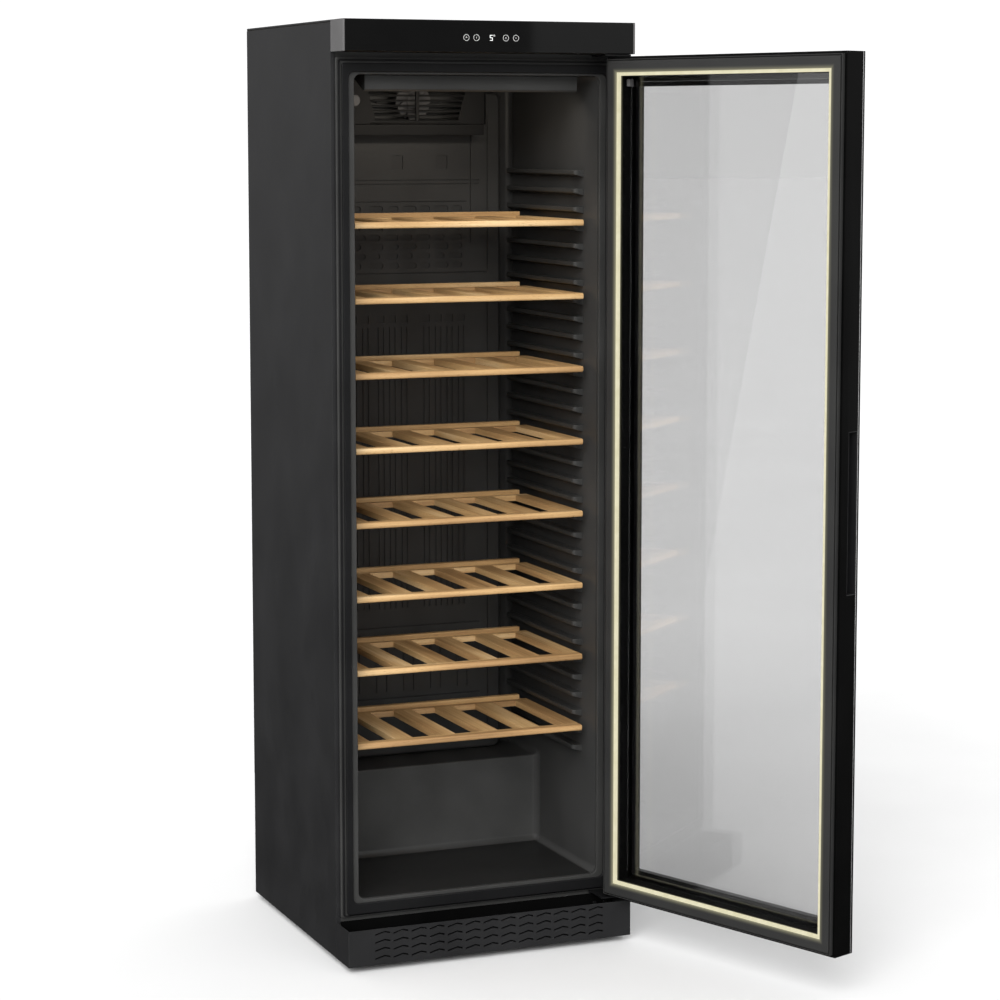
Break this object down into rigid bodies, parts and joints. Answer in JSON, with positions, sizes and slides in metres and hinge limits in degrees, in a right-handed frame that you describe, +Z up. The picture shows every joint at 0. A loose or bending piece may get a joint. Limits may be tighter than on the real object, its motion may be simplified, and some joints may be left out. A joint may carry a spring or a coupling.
{
  "type": "wine cooler",
  "caption": "Tall freestanding wine cooler: black cabinet with wooden slotted shelves, side-hinged glass door and a top control panel.",
  "frame": {"origin": "on the floor, midway across the casing and midway between its front and its back", "axes": "+Z up; the front of the closed appliance faces -Y; +X is to the right of someone who faces the front"},
  "size_m": [0.8065, 1.1342, 1.813],
  "materials": {
    "casing_paint": "satin black powder coat",
    "zinc_steel": "galvanised sheet",
    "insulation": "rigid foam",
    "liner_plastic": "satin black moulding",
    "black_plastic": "black moulding",
    "grey_plastic": "grey moulding",
    "black_glass": "black backed glass",
    "door_glass": "tinted glazing",
    "shelf_beech": "oiled beech",
    "seal_rubber": "soft magnetic seal",
    "light_diffuser": "warm white diffuser",
    "spacer_aluminium": "anodised",
    "circuit_board": "glass fibre board",
    "white_plastic": "white moulding",
    "black_enamel": "gloss black enamel",
    "copper_pipe": "drawn copper",
    "dark_rubber": "moulded rubber"
  },
  "bodies": {
    "cabinet": {"side_panel_left": "casing_paint", "side_panel_right": "casing_paint", "top_panel": "casing_paint", "kick_plate": "casing_paint", "rear_panel": "zinc_steel", "machine_cover": "zinc_steel", "base_pan": "zinc_steel", "insulation_foam": "insulation", "inner_liner": "liner_plastic", "front_frame": "liner_plastic", "ceiling_lamp_cover": "liner_plastic", "air_duct_panel": "liner_plastic", "evaporator_cover": "liner_plastic", "drip_tray": "liner_plastic", "fascia_housing": "black_plastic", "evaporator_fan_motor": "black_plastic", "condenser_fan_frame": "black_plastic", "start_relay": "black_plastic", "evaporation_tray": "black_plastic", "power_inlet": "black_plastic", "rear_spacer_bottom": "black_plastic", "rear_spacer_top": "black_plastic", "fascia_end_cap_left": "grey_plastic", "fascia_end_cap_right": "grey_plastic", "temperature_sensor": "grey_plastic", "fascia_glass": "black_glass", "evaporator_plate": "spacer_aluminium", "control_board": "circuit_board", "display_module": "white_plastic", "ceiling_lamp_board": "white_plastic", "compressor": "black_enamel", "condenser_coil": "black_enamel", "hinge_bracket_bottom": "black_enamel", "hinge_bracket_top": "black_enamel", "refrigerant_tube": "copper_pipe", "compressor_mounts": "dark_rubber", "levelling_foot_left": "dark_rubber", "levelling_foot_right": "dark_rubber"},
    "door": {"door_frame": "black_plastic", "door_glass_outer": "door_glass", "door_glass_inner": "door_glass", "glass_spacer": "spacer_aluminium", "door_gasket": "seal_rubber", "door_light_strip": "light_diffuser", "door_handle_insert": "black_plastic", "hinge_bush_bottom": "white_plastic", "hinge_bush_top": "white_plastic", "light_connector_cap": "grey_plastic"},
    "shelf_1": {"shelf_1": "shelf_beech"},
    "shelf_2": {"shelf_2": "shelf_beech"},
    "shelf_3": {"shelf_3": "shelf_beech"},
    "shelf_4": {"shelf_4": "shelf_beech"},
    "shelf_5": {"shelf_5": "shelf_beech"},
    "shelf_6": {"shelf_6": "shelf_beech"},
    "shelf_7": {"shelf_7": "shelf_beech"},
    "shelf_8": {"shelf_8": "shelf_beech"},
    "evaporator_fan": {"evaporator_fan": "black_plastic"},
    "condenser_fan": {"condenser_fan": "black_plastic"},
    "rear_roller_left": {"rear_roller_left": "dark_rubber"},
    "rear_roller_right": {"rear_roller_right": "dark_rubber"}
  },
  "joints": [
    {"name": "door_hinge", "type": "hinge", "parent": "cabinet", "child": "door", "pos_m": [0.283, -0.2763, 0.9], "axis": [0, 0, 1], "range_deg": [-110.9, 9.1]},
    {"name": "shelf_1_slide", "type": "slide", "parent": "cabinet", "child": "shelf_1", "axis": [0, -1, 0], "range_m": [0, 0.2]},
    {"name": "shelf_2_slide", "type": "slide", "parent": "cabinet", "child": "shelf_2", "axis": [0, -1, 0], "range_m": [0, 0.2]},
    {"name": "shelf_3_slide", "type": "slide", "parent": "cabinet", "child": "shelf_3", "axis": [0, -1, 0], "range_m": [0, 0.2]},
    {"name": "shelf_4_slide", "type": "slide", "parent": "cabinet", "child": "shelf_4", "axis": [0, -1, 0], "range_m": [0, 0.2]},
    {"name": "shelf_5_slide", "type": "slide", "parent": "cabinet", "child": "shelf_5", "axis": [0, -1, 0], "range_m": [0, 0.2]},
    {"name": "shelf_6_slide", "type": "slide", "parent": "cabinet", "child": "shelf_6", "axis": [0, -1, 0], "range_m": [0, 0.2]},
    {"name": "shelf_7_slide", "type": "slide", "parent": "cabinet", "child": "shelf_7", "axis": [0, -1, 0], "range_m": [0, 0.2]},
    {"name": "shelf_8_slide", "type": "slide", "parent": "cabinet", "child": "shelf_8", "axis": [0, -1, 0], "range_m": [0, 0.2]},
    {"name": "evaporator_fan_spin", "type": "hinge", "parent": "cabinet", "child": "evaporator_fan", "pos_m": [0, 0.1285, 1.666], "axis": [0, 1, 0], "continuous": true},
    {"name": "condenser_fan_spin", "type": "hinge", "parent": "cabinet", "child": "condenser_fan", "pos_m": [-0.12, 0.233, 0.118], "axis": [0, 1, 0], "continuous": true},
    {"name": "rear_roller_left_spin", "type": "hinge", "parent": "cabinet", "child": "rear_roller_left", "pos_m": [-0.2455, 0.2465, 0.02], "axis": [1, 0, 0], "continuous": true},
    {"name": "rear_roller_right_spin", "type": "hinge", "parent": "cabinet", "child": "rear_roller_right", "pos_m": [0.2455, 0.2465, 0.02], "axis": [1, 0, 0], "continuous": true}
  ]
}
